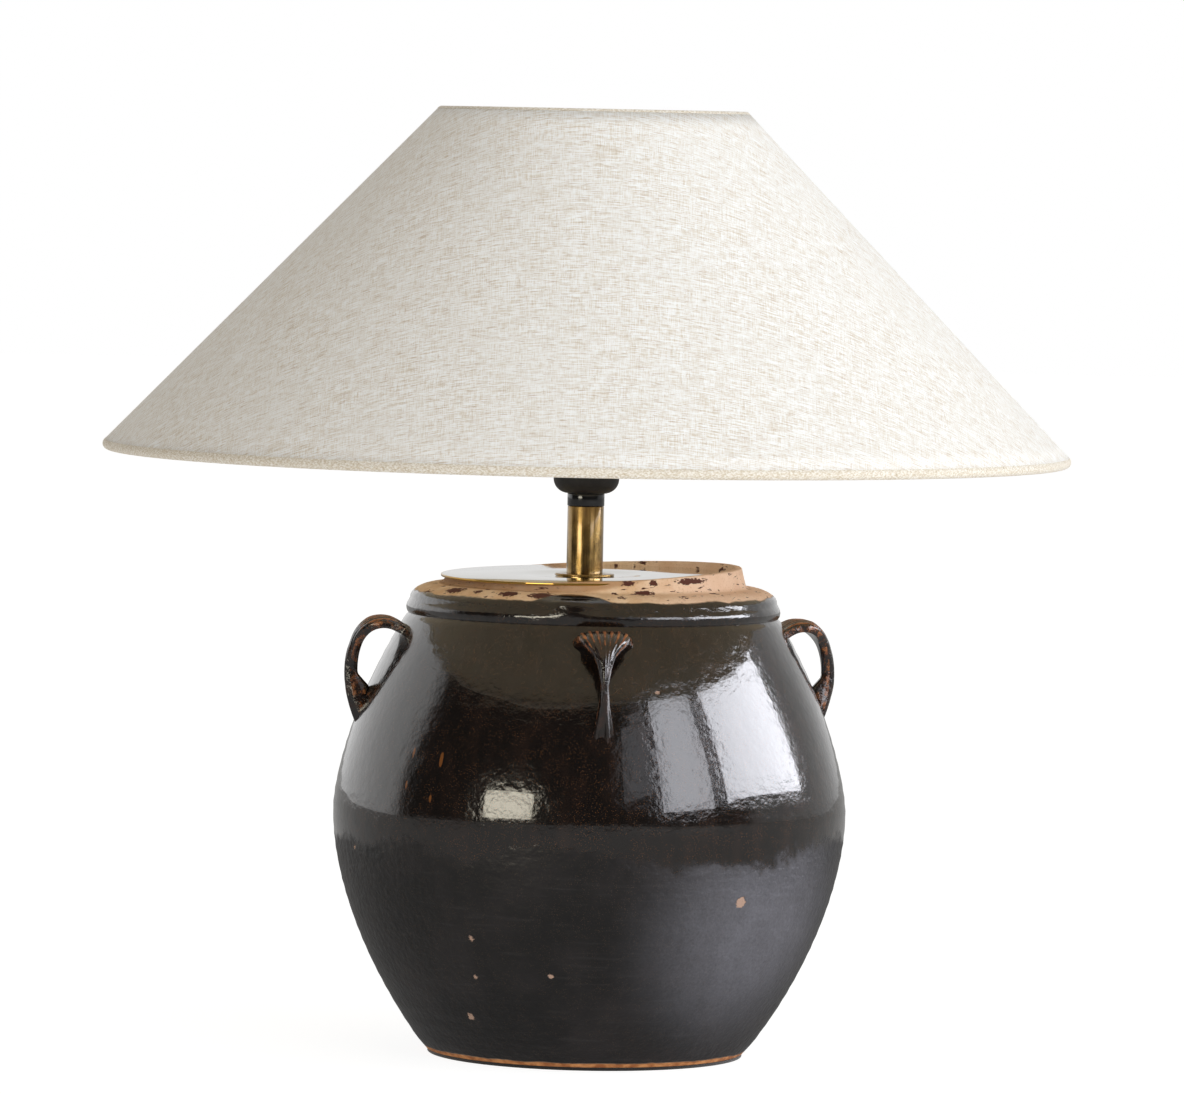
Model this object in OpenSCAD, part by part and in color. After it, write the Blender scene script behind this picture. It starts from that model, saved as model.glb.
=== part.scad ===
// Table lamp made from an old glazed storage jar, with a wide linen coolie shade.
// The origin is the centre of the jar's foot on the table. +Z is up and -Y faces the viewer.

/* [Jar] */
// Radius of the foot on the table
foot_r = 99; // [90:1:108]
// Radius of the belly at its widest
belly_r = 158.5; // [150:0.5:168]
// Height of the widest place above the foot
belly_h = 150; // [138:1:162]
// Radius of the body where the shoulder band starts
shoulder_r = 115; // [111:0.5:119]
// Height of the shoulder band's lower edge above the foot
shoulder_h = 270; // [258:1:282]
// Fullness of the curve from foot to belly, where 2 is a parabola
lower_fullness = 1.9; // [1.8:0.05:2.3]
// Fullness of the curve from belly to shoulder
upper_fullness = 1.6; // [1.4:0.02:1.7]
// Thickness of the wall, measured level
jar_wall = 9; // [7:0.5:11]
// Thickness of the floor
jar_floor = 12; // [9:1:16]
// Width of the rounded corner between the floor and the inner wall
floor_corner = 4; // [2:0.5:8]
// Rounding at the edge of the foot
foot_edge = 2; // [1:0.5:4]

/* [Shoulder and mouth] */
// Height of the rolled shoulder band
band_h = 9; // [7:0.5:12]
// How far the band leans in from its lower to its upper edge
band_lean = 1.4; // [0.5:0.1:3]
// How far the band bulges
band_bulge = 1.2; // [0:0.1:1.5]
// Height of the rounded top of the shoulder
crown_h = 9.5; // [7:0.5:12]
// Radius of the neck at its foot
neck_r = 93.6; // [91:0.2:96]
// Radius of the hollow between shoulder and neck
neck_cove = 3; // [1:0.5:4]
// Height of the seat for the cover plate above the shoulder
neck_h = 5.6; // [4.5:0.1:7]
// Outer radius of the lip at its top
lip_r = 91.5; // [89:0.5:93]
// Thickness of the lip
lip_t = 4.5; // [3:0.5:6]
// Highest point of the worn lip above the plate's seat
lip_rise = 7.5; // [6:0.1:9]
// Slope of the worn lip
lip_slope = 2.9; // [1.5:0.1:3.5]
// Direction of the lip's highest point, from the right round to the back
lip_turn = 14; // [0:1:60]
// Slope of the cover plate's seat
seat_slope = 1; // [0.2:0.1:1.5]
// Direction of the seat's highest point, from the right round to the back
seat_turn = 38; // [0:1:60]
// Width of the sloping corner between the throat's shelf and the inner wall
shelf_corner = 8; // [5:0.5:11]
// Radius of the mouth's opening
mouth_r = 80; // [76:0.5:81]
// Depth of the mouth's throat below the seat
throat_h = 16; // [13:0.5:19]

/* [Lugs] */
// Directions of the right, back, left and front lug
lug_turns = [12, 95, 187, 273]; // [0:1:359]
// Depth of the lug's top root below the shoulder band
lug_root_drop = 17; // [14:1:20]
// Height of the arch's pull above the root
lug_spring = 27; // [23:1:30]
// Outward pull of the arch at its top
lug_crook = 26; // [22:1:30]
// How far the loop stands out beyond its root
lug_reach = 50; // [46:1:54]
// Drop from the root to the fullest part of the loop
lug_fall = 3; // [0:1:7]
// Drop from the root to the end of the tail
lug_drop = 52; // [48:1:56]
// Width across the pressed root
lug_root_w = 47; // [42:1:52]
// Width at the top of the arch
lug_w = 31.5; // [28:0.5:36]
// Width of the waist
lug_waist_w = 13.5; // [11:0.5:16]
// Width of the narrow bar below the waist
lug_tail_w = 4.8; // [4:0.2:8]
// Width of the tail's pressed end
lug_flare_w = 18; // [13:1:22]
// Thickness of the strap
lug_t = 5.4; // [4.6:0.2:6.4]
// Depth of the narrow bar below the waist
lug_bar_t = 7.6; // [6.6:0.2:8.6]
// Thickness of the tail's end
lug_tail_t = 4; // [3:0.2:5]
// Depth of the web that joins the tail to the wall behind it
lug_web = 11; // [9:0.5:13]
// Crown across the strap
lug_crown = 1.8; // [1:0.1:3]
// Number of pulled ridges along the strap
lug_ridges = 7; // [5:1:9]
// Height of the ridges
lug_ridge_h = 0.9; // [0.4:0.1:1.4]

/* [Foot pad and cable outlet] */
// Thickness of the felt under the foot
felt_t = 2; // [1:0.5:4]
// How far the felt stays inside the foot's edge
felt_inset = 1.5; // [1:0.5:4]
// Height of the cable outlet above the foot
outlet_h = 30; // [24:1:45]
// Radius of the outlet's bore
outlet_bore_r = 3.2; // [2.6:0.1:3.8]
// Outer radius of the outlet's bush
outlet_bush_r = 5; // [4.5:0.1:6]
// Radius of the bush's flange
outlet_flange_r = 8; // [7:0.5:10]
// Thickness of the bush's flange
outlet_flange_t = 2; // [1.5:0.1:3]
// Depth of the flat ground for the flange
outlet_spot = 0.8; // [0.6:0.1:1.2]
// How far the bush stands inside the wall
outlet_stub = 3; // [1:0.5:5]

/* [Cover plate and stem] */
// Distance of the stem to the left of the jar's axis
stem_left = 6; // [3:0.5:8]
// Distance of the stem to the front of the jar's axis
stem_front = 4; // [1:0.5:5]
// How far the cover plate's edge lies inside the lip's outer edge
plate_inset = 2.8; // [2:0.1:4]
// Depth of the cover plate's shallow middle
plate_dish = 1.3; // [0.6:0.1:1.6]
// Thickness of the cover plate
plate_t = 1.5; // [1:0.1:2]
// Radius of the stem tube
tube_r = 11.25; // [10.75:0.25:12.5]
// Wall of the stem tube
tube_wall = 1.25; // [0.8:0.05:1.5]
// Length of the stem tube
tube_h = 43.2; // [38:0.2:60]
// Radius of the ring round the tube's foot
foot_ring_r = 18.5; // [16:0.5:22]
// Height of the ring round the tube's foot
foot_ring_h = 1.7; // [1.4:0.1:3]
// Height of the black collar
collar_h = 8; // [6:0.5:12]
// How far the collar is wider than the tube
collar_proud = 0.2; // [0.1:0.1:0.8]
// Depth of the collar's spigot in the tube
spigot_h = 6; // [4:0.5:10]
// Radius of the threaded hollow rod
rod_r = 5; // [4.6:0.1:5.4]
// Bore of the threaded hollow rod
rod_bore_r = 3.5; // [3:0.1:3.8]
// Length of rod below the lower nut
rod_tail = 6; // [3:0.5:12]
// Depth of rod screwed into the lampholder
rod_grip = 7; // [6:0.5:9]

/* [Clamp inside the jar] */
// Space between the clamp bar's ends and the corner of the shelf
bar_clear = 1; // [0.5:0.5:2]
// Width of the clamp bar
bar_w = 25; // [20:1:32]
// Thickness of the clamp bar
bar_t = 4; // [3:0.5:6]
// Length of each rubber pad
pad_l = 18; // [14:1:22]
// Thickness of each rubber pad
pad_t = 3; // [2:0.5:4]
// Radius of the washer
washer_r = 10.5; // [9:0.5:14]
// Thickness of the washer
washer_t = 1.5; // [1:0.1:2.5]
// Width of the hexagon nuts across their flats
nut_af = 17; // [15:0.5:19]
// Height of the hexagon nuts
nut_h = 5; // [4:0.5:7]

/* [Lampholder] */
// Radius of the lampholder's cap
holder_r = 20.3; // [20:0.1:21]
// Height of the cap's rounded bottom
holder_dome_h = 9; // [8:0.5:12]
// Height of the whole cap
holder_cap_h = 19; // [17:0.5:23]
// Wall of the cap
holder_wall = 2.4; // [2:0.1:2.8]
// Thickness of the cap's floor
holder_floor = 4; // [3:0.5:5]
// Outer radius of the threaded skirt
skirt_r = 19.6; // [19.3:0.1:19.9]
// Wall of the threaded skirt
skirt_wall = 2.2; // [1.8:0.1:2.4]
// Height of the threaded skirt above the cap
skirt_h = 36; // [33:0.5:40]
// Depth of the skirt's spigot in the cap
skirt_spigot = 5; // [4:0.5:7]
// Height of the core that carries the contacts
core_h = 13; // [11:0.5:15]
// Wall of the spigot that enters the cap
spigot_wall = 1.6; // [1.4:0.1:1.8]
// Height of the collar round the lower end of the skirt
skirt_collar_h = 3; // [2.5:0.5:4]
// Distance of the terminals from the middle
terminal_at = 8.5; // [8:0.1:9.5]
// Width of a terminal block
terminal_w = 6; // [5:0.5:6.5]
// Height of a terminal block
terminal_h = 7; // [6.5:0.5:8]
// Radius of the wire hole through a terminal block
terminal_hole_r = 1.4; // [1:0.1:1.6]
// Radius of the terminal screws
screw_r = 1.4; // [1:0.1:1.6]
// Length of the terminal screws in their blocks
screw_l = 1.5; // [1:0.1:1.6]
// Inner radius of the socket's screw shell
shell_r = 13.6; // [13.5:0.1:14]
// Sheet thickness of the screw shell
shell_t = 0.5; // [0.4:0.1:0.7]
// Height of the screw shell
shell_h = 22; // [20:0.5:24]

/* [Bulb] */
// Radius of the bulb's cap
bulb_cap_r = 13.1; // [12.9:0.1:13.2]
// Height of the bulb's cap
bulb_cap_h = 22; // [20:0.5:24]
// Height of the insulator below the cap
bulb_neck_h = 3; // [2.5:0.1:4]
// Radius of the bulb's globe
bulb_r = 30; // [26:0.5:32]
// Length of the bulb from its contact to its top
bulb_l = 105; // [98:1:110]
// Thickness of the glass
glass_t = 1; // [0.7:0.1:1.5]

/* [Shade] */
// Outer radius of the shade at its bottom
shade_bottom_r = 298.5; // [270:1:320]
// Outer radius of the shade at its top
shade_top_r = 96.7; // [85:0.1:110]
// Height of the shade
shade_h = 214.5; // [190:0.5:240]
// How far the shade hangs below the ring that carries it
shade_hang = 10; // [6:0.5:14]
// Thickness of the linen
linen_t = 0.5; // [0.4:0.05:0.8]
// Thickness of the stiff liner
liner_t = 0.8; // [0.6:0.1:1.4]
// Radius of the wire of the two rings
wire_r = 1.8; // [1.5:0.1:2.2]
// Radius of the three arms
arm_r = 1.7; // [1.5:0.1:2]
// Outer radius of the carrying ring
carrier_r = 33; // [31:0.5:36]
// Thickness of the carrying ring
carrier_t = 1.5; // [1.2:0.1:2]
// Distance from the carrying ring's edge to the bend in an arm
arm_bend = 4; // [3:0.5:8]
// Direction of the first arm
arm_turn = 90; // [60:5:120]

/* [Clamp rings] */
// Outer radius of the two clamp rings
clamp_r = 25.5; // [24.5:0.5:26.5]
// Height of each clamp ring
clamp_h = 8; // [7:0.5:9]
// Height of a clamp ring's broad flange
clamp_flange_h = 2.5; // [2:0.1:3]
// Height of the lower clamp ring above the lampholder's cap
clamp_up = 5.5; // [4:0.5:8]
// How far the flange stands out beyond the collar
clamp_lip = 2.5; // [1.5:0.1:2.8]
// Number of grips round a clamp ring
clamp_grips = 24; // [16:1:32]

/* [Clearances] */
// Gap between the cover plate and the lip round it
plate_gap = 0.4; // [0.3:0.1:0.8]
// Gap round the rod, the tube and the outlet's bush
fit_gap = 0.1; // [0.05:0.05:0.15]
// Gap between pieces of the lampholder
holder_gap = 0.15; // [0.1:0.05:0.2]
// Gap between the clamp rings and the skirt
ring_gap = 0.3; // [0.2:0.05:0.4]
// Gap between the carrying ring and the skirt
carrier_gap = 1; // [0.6:0.1:1.4]
// Gap between the layers of the shade
layer_gap = 0.05; // [0.02:0.01:0.1]

/* [Hidden] */
$fn = 96;
eps = 0.01;
far = 400;

// Heights of the jar
foot_z = felt_t;
belly_z = foot_z + belly_h;
shoulder_z = foot_z + shoulder_h;
band_z = shoulder_z + band_h;
crown_z = band_z + crown_h;
seat_z = crown_z + neck_h;
lip_z = seat_z + lip_rise;
throat_z = seat_z - throat_h;
shelf_r = shoulder_r - jar_wall - shelf_corner;
floor_z = foot_z + jar_floor;
outlet_z = foot_z + outlet_h;

// Heights of the stem, from the cover plate up
stem_at = [-stem_left, -stem_front, 0];
plate_r = lip_r - plate_inset;
plate_z = seat_z + (plate_t - plate_dish) / cos(seat_slope);
seat_top_z = seat_z + (lip_r + norm(stem_at)) * tan(seat_slope);
foot_drop = foot_ring_r * tan(seat_slope);
collar_z = plate_z + tube_h;
holder_z = collar_z + collar_h;
skirt_z = holder_z + holder_cap_h;
rim_z = skirt_z + skirt_h;

// Heights of the clamp inside the jar, from the throat down
bar_z = throat_z - pad_t;
bar_l = 2 * (sqrt(pow(shelf_r, 2) - pow(bar_w / 2 + stem_front, 2)) - stem_left - bar_clear);
washer_z = bar_z - bar_t;
nut_z = washer_z - washer_t;
upper_nut_z = plate_z - plate_t - nut_h - nut_af / sqrt(3) * tan(seat_slope);
rod_bottom_z = nut_z - nut_h - rod_tail;
rod_top_z = holder_z + rod_grip;

// Heights inside the lampholder
core_z = skirt_z - skirt_spigot;
core_top_z = core_z + core_h;
shell_z = core_top_z;
contact_lift = 2;
bulb_z = core_top_z + contact_lift;
button_h = 1.4;
bulb_cap_z = bulb_z + button_h + bulb_neck_h;
bulb_cap_top_z = bulb_cap_z + bulb_cap_h;
bulb_top_z = bulb_z + bulb_l;
globe_z = bulb_top_z - bulb_r;

// Heights of the shade
clamp_z = skirt_z + clamp_up;
carrier_z = clamp_z + clamp_h;
clamp_upper_z = carrier_z + carrier_t;
shade_z = carrier_z - shade_hang;
shade_top_z = shade_z + shade_h;

// Middles of the shade's two wires, and unit vectors up the wall's slope and out of it
hem_r = wire_r + linen_t + liner_t + 2 * layer_gap;
bottom_wire = [shade_bottom_r - hem_r, shade_z + hem_r];
top_wire = [shade_top_r - hem_r, shade_top_z - hem_r];
up_slope = (top_wire - bottom_wire) / norm(top_wire - bottom_wire);
out_slope = [up_slope[1], -up_slope[0]];

// Radius of the jar's body at a height
function body_r(z) =
    z < belly_z
    ? belly_r - (belly_r - foot_r) * pow((belly_z - z) / belly_h, lower_fullness)
    : belly_r - (belly_r - shoulder_r) * pow((z - belly_z) / (shoulder_z - belly_z), upper_fullness);

// Lean of the jar's wall at a height, in degrees from upright
function wall_lean(z) = atan((body_r(z + 1) - body_r(z - 1)) / 2);

// Points of an arc in the plane of radius and height
function arc(centre, r, from, to, steps, tall = 1) =
    [for (i = [0:steps]) let (a = from + (to - from) * i / steps) centre + [r * cos(a), tall * r * sin(a)]];

// Outline of the jar's outside from the foot to the top of the shoulder
body_steps = 30;
band_steps = 6;
crown_steps = 7;
function body_outline() = concat(
    arc([foot_r - foot_edge, foot_z + foot_edge], foot_edge, -90, -30, 3),
    [for (i = [1:body_steps]) let (z = foot_z + foot_edge + (shoulder_h - foot_edge) * i / body_steps)
        [body_r(z), z]],
    [for (i = [1:band_steps]) let (t = i / band_steps)
        [shoulder_r - band_lean * t + band_bulge * sin(180 * t), shoulder_z + band_h * t]],
    arc([neck_r + neck_cove, band_z], shoulder_r - band_lean - neck_r - neck_cove, 12, 90, crown_steps,
        crown_h / (shoulder_r - band_lean - neck_r - neck_cove))
);

// Outline of the jar's inside from the throat to the floor
function cavity_outline() = concat(
    [[mouth_r, throat_z], [shelf_r, throat_z]],
    [for (i = [body_steps:-2:2]) let (z = floor_z + (shoulder_z - floor_z) * i / body_steps)
        [body_r(z) - jar_wall, z]],
    [[body_r(floor_z) - jar_wall - floor_corner, floor_z], [0, floor_z]]
);

module spin(outline) {
    rotate_extrude()
        polygon(outline);
}

module at_stem() {
    translate(stem_at)
        children();
}

// Plate and seat slope alike, about the stem's axis
module at_slope(z) {
    translate(stem_at + [0, 0, z])
        rotate([0, 0, seat_turn])
            rotate([0, -seat_slope, 0])
                children();
}

module above_slope(z, r) {
    at_slope(z)
        cylinder(r = r, h = far);
}

module tube(r, bore, z, h) {
    translate([0, 0, z])
        difference() {
            cylinder(r = r, h = h);
            translate([0, 0, -eps])
                cylinder(r = bore, h = h + 2 * eps);
        }
}

// The outlet's axis leaves the back wall at a right angle
module at_outlet() {
    translate([0, body_r(outlet_z), outlet_z])
        rotate([-90 - wall_lean(outlet_z), 0, 0])
            children();
}

module jar() {
    lip_edge = 1.5;
    color("#1d1613")
    difference() {
        spin(concat(
            [[0, foot_z]],
            body_outline(),
            arc([neck_r + neck_cove, crown_z + neck_cove], neck_cove, -90, -180, 3),
            arc([lip_r - lip_edge, lip_z - lip_edge], lip_edge, 0, 90, 3),
            [[lip_r - lip_t, lip_z], [mouth_r, seat_top_z]],
            cavity_outline()
        ));
        // The lip is worn down along a slope, but never below the plate's seat
        intersection() {
            above_slope(seat_z, far);
            rotate([0, 0, lip_turn])
                translate([lip_r, 0, lip_z])
                    rotate([0, -lip_slope, 0])
                        translate([0, 0, far])
                            cube(2 * far, center = true);
        }
        above_slope(seat_z, plate_r + plate_gap);
        at_outlet() {
            translate([0, 0, -2 * jar_wall])
                cylinder(r = outlet_bush_r + fit_gap, h = 3 * jar_wall);
            translate([0, 0, -outlet_spot])
                cylinder(r = outlet_flange_r + holder_gap, h = jar_wall);
        }
    }
}

// The strap of a lug follows one curve from its root to its tail, in radius and height
lug_rings = 24;
lug_outer = 2 * lug_ridges;
lug_inner = 6;
lug_bury = 3;
root = [shoulder_r - lug_bury, shoulder_z - lug_root_drop];
crook = root + [lug_crook, lug_spring];
reach = root + [lug_reach, -lug_fall];
tail_bury = 4;
tail = [body_r(root[1] - lug_drop) - tail_bury, root[1] - lug_drop];

function strap_at(t) =
    pow(1 - t, 3) * root + 3 * pow(1 - t, 2) * t * crook + 3 * (1 - t) * t * t * reach + pow(t, 3) * tail;
function strap_way(t) =
    let (d = pow(1 - t, 2) * (crook - root) + 2 * (1 - t) * t * (reach - crook) + t * t * (tail - reach))
    d / norm(d);
function strap_w(t) =
    lookup(t, [[0, lug_root_w], [0.1, lug_w + 5], [0.2, lug_w], [0.3, lug_w], [0.4, 0.82 * lug_w],
        [0.52, lug_waist_w], [0.62, 0.6 * lug_waist_w], [0.73, lug_tail_w], [0.83, lug_tail_w + 1.7],
        [0.92, 0.66 * lug_flare_w], [1, lug_flare_w]]);
// Depth of the strap outside and inside its curve. Below the hole it reaches in to the wall
function strap_out(t) =
    lookup(t, [[0.4, lug_t / 2], [0.62, lug_bar_t / 2], [0.85, lug_bar_t / 2], [1, lug_tail_t / 2]]);
function strap_in(t) =
    lookup(t, [[0.4, lug_t / 2], [0.62, lug_bar_t / 2], [0.76, lug_bar_t / 2 + 0.5], [0.84, lug_web],
        [1, lug_web / 2]]);
// How far crown and ridges still show: fully at the arch, not at all on the narrow bar
function strap_relief(t) = lookup(t, [[0.1, 0.6], [0.2, 1], [0.35, 1], [0.6, 0.1], [1, 0]]);

// One ring of points across the strap at t, over the ridges and back inside
function strap_ring(t) =
    let (
        at = strap_at(t),
        way = strap_way(t),
        w = strap_w(t) / 2,
        relief = strap_relief(t)
    )
    concat(
        [for (i = [0:lug_outer]) let (
            s = 2 * i / lug_outer - 1,
            ridge = (i % 2 == 0 ? 0 : 1) * lug_ridge_h,
            out = strap_out(t) * (1 - 0.2 * pow(abs(s), 6)) + relief * (lug_crown * (1 - s * s) + ridge)
        ) [at[0] - out * way[1], w * s, at[1] + out * way[0]]],
        [for (i = [0:lug_inner]) let (
            s = 1 - 2 * i / lug_inner,
            out = -strap_in(t) * (1 - 0.25 * pow(abs(s), 4)) + relief * lug_crown * 0.35 * (1 - s * s)
        ) [at[0] - out * way[1], 0.96 * w * s, at[1] + out * way[0]]]
    );

module lug(turn) {
    n = lug_outer + lug_inner + 2;
    points = [for (k = [0:lug_rings]) each strap_ring(k / lug_rings)];
    sides = [for (k = [0:lug_rings - 1], j = [0:n - 1]) each [
        [k * n + j, k * n + (j + 1) % n, (k + 1) * n + j],
        [k * n + (j + 1) % n, (k + 1) * n + (j + 1) % n, (k + 1) * n + j]
    ]];
    ends = [[for (j = [n - 1:-1:0]) j], [for (j = [0:n - 1]) lug_rings * n + j]];
    color("#2b1c14")
    difference() {
        rotate([0, 0, turn])
            polyhedron(points, concat(sides, ends));
        spin(concat([[0, foot_z]], body_outline(), [[0, crown_z]]));
    }
}

module lug_right() { lug(lug_turns[0]); }
module lug_back() { lug(lug_turns[1]); }
module lug_left() { lug(lug_turns[2]); }
module lug_front() { lug(lug_turns[3]); }

module base_felt() {
    color("#171717")
    cylinder(r = foot_r - felt_inset, h = felt_t);
}

module cable_bush() {
    deep = jar_wall + outlet_stub;
    color("#141414")
    at_outlet()
        difference() {
            union() {
                translate([0, 0, -deep])
                    cylinder(r = outlet_bush_r, h = deep);
                translate([0, 0, -outlet_spot])
                    cylinder(r = outlet_flange_r, h = outlet_flange_t);
            }
            translate([0, 0, -deep - eps])
                cylinder(r = outlet_bore_r, h = deep + outlet_flange_t);
        }
}

// The plate is flat round the stem and on its seat, and sinks in a smooth curve between
module cover_plate() {
    edge = 0.4;
    steps = 8;
    flat_r = foot_ring_r + 1;
    well_r = mouth_r - norm(stem_at) - 1;
    sunk = [for (i = [0:steps]) [
        flat_r + (well_r - flat_r) * i / steps, -plate_dish * (1 + cos(180 * i / steps)) / 2
    ]];
    color("#c9a566")
    difference() {
        at_slope(seat_z)
            spin(concat(
                [[0, -plate_dish]], sunk,
                [[plate_r - edge, 0], [plate_r, edge], [plate_r, plate_t - edge], [plate_r - edge, plate_t]],
                [for (i = [steps:-1:0]) sunk[i] + [0, plate_t]],
                [[0, plate_t - plate_dish]]
            ));
        at_stem()
            cylinder(r = rod_r + fit_gap, h = far);
    }
}

module foot_ring() {
    color("#9a7434")
    intersection() {
        above_slope(plate_z, far);
        at_stem()
            spin(concat(
                [[tube_r + fit_gap, plate_z - foot_drop], [foot_ring_r - foot_ring_h / 2, plate_z - foot_drop]],
                arc([foot_ring_r - foot_ring_h / 2, plate_z + foot_ring_h / 2], foot_ring_h / 2, -90, 90, 8),
                [[tube_r + fit_gap, plate_z + foot_ring_h]]
            ));
    }
}

module stem_tube() {
    color("#a67c35")
    intersection() {
        above_slope(plate_z, far);
        at_stem()
            tube(tube_r, tube_r - tube_wall, plate_z - foot_drop, tube_h + foot_drop);
    }
}

module stem_collar() {
    r = tube_r + collar_proud;
    edge = 0.4;
    color("#1b1b1c")
    at_stem()
        spin([
            [rod_r + fit_gap, collar_z - spigot_h], [tube_r - tube_wall - fit_gap, collar_z - spigot_h],
            [tube_r - tube_wall - fit_gap, collar_z], [r - edge, collar_z], [r, collar_z + edge],
            [r, holder_z - edge], [r - edge, holder_z], [rod_r + fit_gap, holder_z]
        ]);
}

module threaded_rod() {
    color("#b08d4a")
    at_stem()
        tube(rod_r, rod_bore_r, rod_bottom_z, rod_top_z - rod_bottom_z);
}

module clamp_bar() {
    color("#8b8f93")
    at_stem()
        difference() {
            translate([-bar_l / 2, -bar_w / 2, bar_z - bar_t])
                cube([bar_l, bar_w, bar_t]);
            translate([0, 0, bar_z - bar_t - eps])
                cylinder(r = rod_r + fit_gap, h = bar_t + 2 * eps);
        }
}

module bar_pads() {
    color("#222222")
    at_stem()
        for (side = [-1, 1])
            translate([side * (bar_l - pad_l) / 2 - pad_l / 2, -bar_w / 2, bar_z])
                cube([pad_l, bar_w, pad_t]);
}

module clamp_washer() {
    color("#a9acaf")
    at_stem()
        tube(washer_r, rod_r + fit_gap, nut_z, washer_t);
}

module rod_nuts() {
    color("#b9975a")
    at_stem()
        for (z = [nut_z - nut_h, upper_nut_z])
            translate([0, 0, z])
                difference() {
                    cylinder(r = nut_af / sqrt(3), h = nut_h, $fn = 6);
                    translate([0, 0, -eps])
                        cylinder(r = rod_r + fit_gap, h = nut_h + 2 * eps);
                }
}

module holder_cap() {
    neck = tube_r + collar_proud - 0.3;
    color("#161617")
    at_stem()
        spin(concat(
            [[rod_r + fit_gap, holder_z]],
            arc([neck, holder_z + holder_dome_h], holder_r - neck, -90, 0, 8, holder_dome_h / (holder_r - neck)),
            [
                [holder_r, skirt_z], [holder_r - holder_wall, skirt_z],
                [holder_r - holder_wall, holder_z + holder_dome_h], [neck, holder_z + holder_floor],
                [rod_r + fit_gap, holder_z + holder_floor]
            ]
        ));
}

module holder_skirt() {
    bore = skirt_r - skirt_wall;
    spigot = holder_r - holder_wall - holder_gap;
    edge = 1;
    ledge_z = skirt_z + skirt_collar_h;
    color("#161617")
    at_stem()
        spin([
            [spigot - spigot_wall, core_z], [spigot, core_z], [spigot, skirt_z], [holder_r, skirt_z],
            [holder_r, ledge_z], [skirt_r, ledge_z], [skirt_r, rim_z - edge], [skirt_r - edge, rim_z],
            [bore, rim_z], [bore, ledge_z], [spigot - spigot_wall, ledge_z]
        ]);
}

// The core drops into the skirt and hangs by its flange from the ledge inside
module holder_core() {
    r = holder_r - holder_wall - holder_gap - spigot_wall - holder_gap;
    flange_h = 2;
    pocket = terminal_w + 2 * holder_gap;
    color("#e8e4da")
    at_stem()
        difference() {
            union() {
                translate([0, 0, core_z])
                    cylinder(r = r, h = core_h);
                translate([0, 0, skirt_z + skirt_collar_h])
                    cylinder(r = skirt_r - skirt_wall - holder_gap, h = flange_h);
            }
            for (side = [-1, 1])
                translate([side * terminal_at - pocket / 2, -pocket / 2, core_z - eps])
                    cube([pocket, pocket, terminal_h + eps]);
        }
}

// Terminal blocks stand in pockets in the core's underside
module terminals() {
    color("#c8a355")
    at_stem()
        for (side = [-1, 1])
            translate([side * terminal_at, 0, core_z])
                difference() {
                    translate([-terminal_w / 2, -terminal_w / 2, 0])
                        cube([terminal_w, terminal_w, terminal_h - holder_gap]);
                    translate([0, 0, terminal_h / 2])
                        rotate([90, 0, 0])
                            cylinder(r = terminal_hole_r, h = terminal_w + 2, center = true);
                    translate([0, 0, -eps])
                        cylinder(r = screw_r + fit_gap, h = screw_l + fit_gap);
                }
}

module terminal_screws() {
    head_r = 2.4;
    head_h = 1.2;
    slot = 0.6;
    color("#9fa3a7")
    at_stem()
        for (side = [-1, 1])
            translate([side * terminal_at, 0, core_z])
                difference() {
                    union() {
                        translate([0, 0, -head_h])
                            cylinder(r = head_r, h = head_h);
                        cylinder(r = screw_r, h = screw_l);
                    }
                    translate([-head_r - 1, -slot / 2, -head_h - 1])
                        cube([2 * head_r + 2, slot, 1 + slot]);
                }
}

module screw_shell() {
    color("#d0ab5f")
    at_stem()
        tube(shell_r + shell_t, shell_r, shell_z, shell_h);
}

module centre_contact() {
    w = 5;
    spring_t = 0.5;
    color("#d8b770")
    at_stem() {
        translate([-7, -w / 2, core_top_z])
            cube([5, w, spring_t]);
        translate([-2.5, -w / 2, core_top_z])
            cube([spring_t, w, contact_lift - fit_gap]);
        translate([-2.5, -w / 2, core_top_z + contact_lift - fit_gap - spring_t])
            cube([6, w, spring_t]);
    }
}

module bulb_cap() {
    color("#c9ccd0")
    at_stem()
        tube(bulb_cap_r, bulb_cap_r - 0.4, bulb_cap_z, bulb_cap_h);
}

module bulb_insulator() {
    color("#20222a")
    at_stem()
        spin([
            [0, bulb_z + button_h], [6, bulb_z + button_h], [bulb_cap_r - 2, bulb_cap_z],
            [bulb_cap_r - 0.4 - layer_gap, bulb_cap_z], [bulb_cap_r - 0.4 - layer_gap, bulb_cap_z + 1.5],
            [0, bulb_cap_z + 1.5]
        ]);
}

module bulb_contact() {
    color("#b9bcc0")
    at_stem()
        translate([0, 0, bulb_z])
            cylinder(r = 4.5, h = button_h);
}

// The glass swells from the cap's rim into a round globe
function glass_outline(off) =
    let (
        neck = bulb_cap_r - 0.1,
        meet = -38,
        r1 = bulb_r * cos(meet),
        z1 = globe_z + bulb_r * sin(meet),
        z0 = bulb_cap_top_z
    )
    concat(
        [for (i = [0:8]) let (t = i / 8)
            [neck + (r1 - neck) * (1 - cos(180 * t)) / 2 - off, z0 + (z1 - z0) * t]],
        arc([0, globe_z], bulb_r - off, meet + 6, 90, 14)
    );

module bulb_glass() {
    outer = glass_outline(0);
    inner = glass_outline(glass_t);
    color([0.85, 0.9, 0.95, 0.4])
    at_stem()
        spin(concat(outer, [for (i = [len(inner) - 1:-1:0]) inner[i]]));
}

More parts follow.
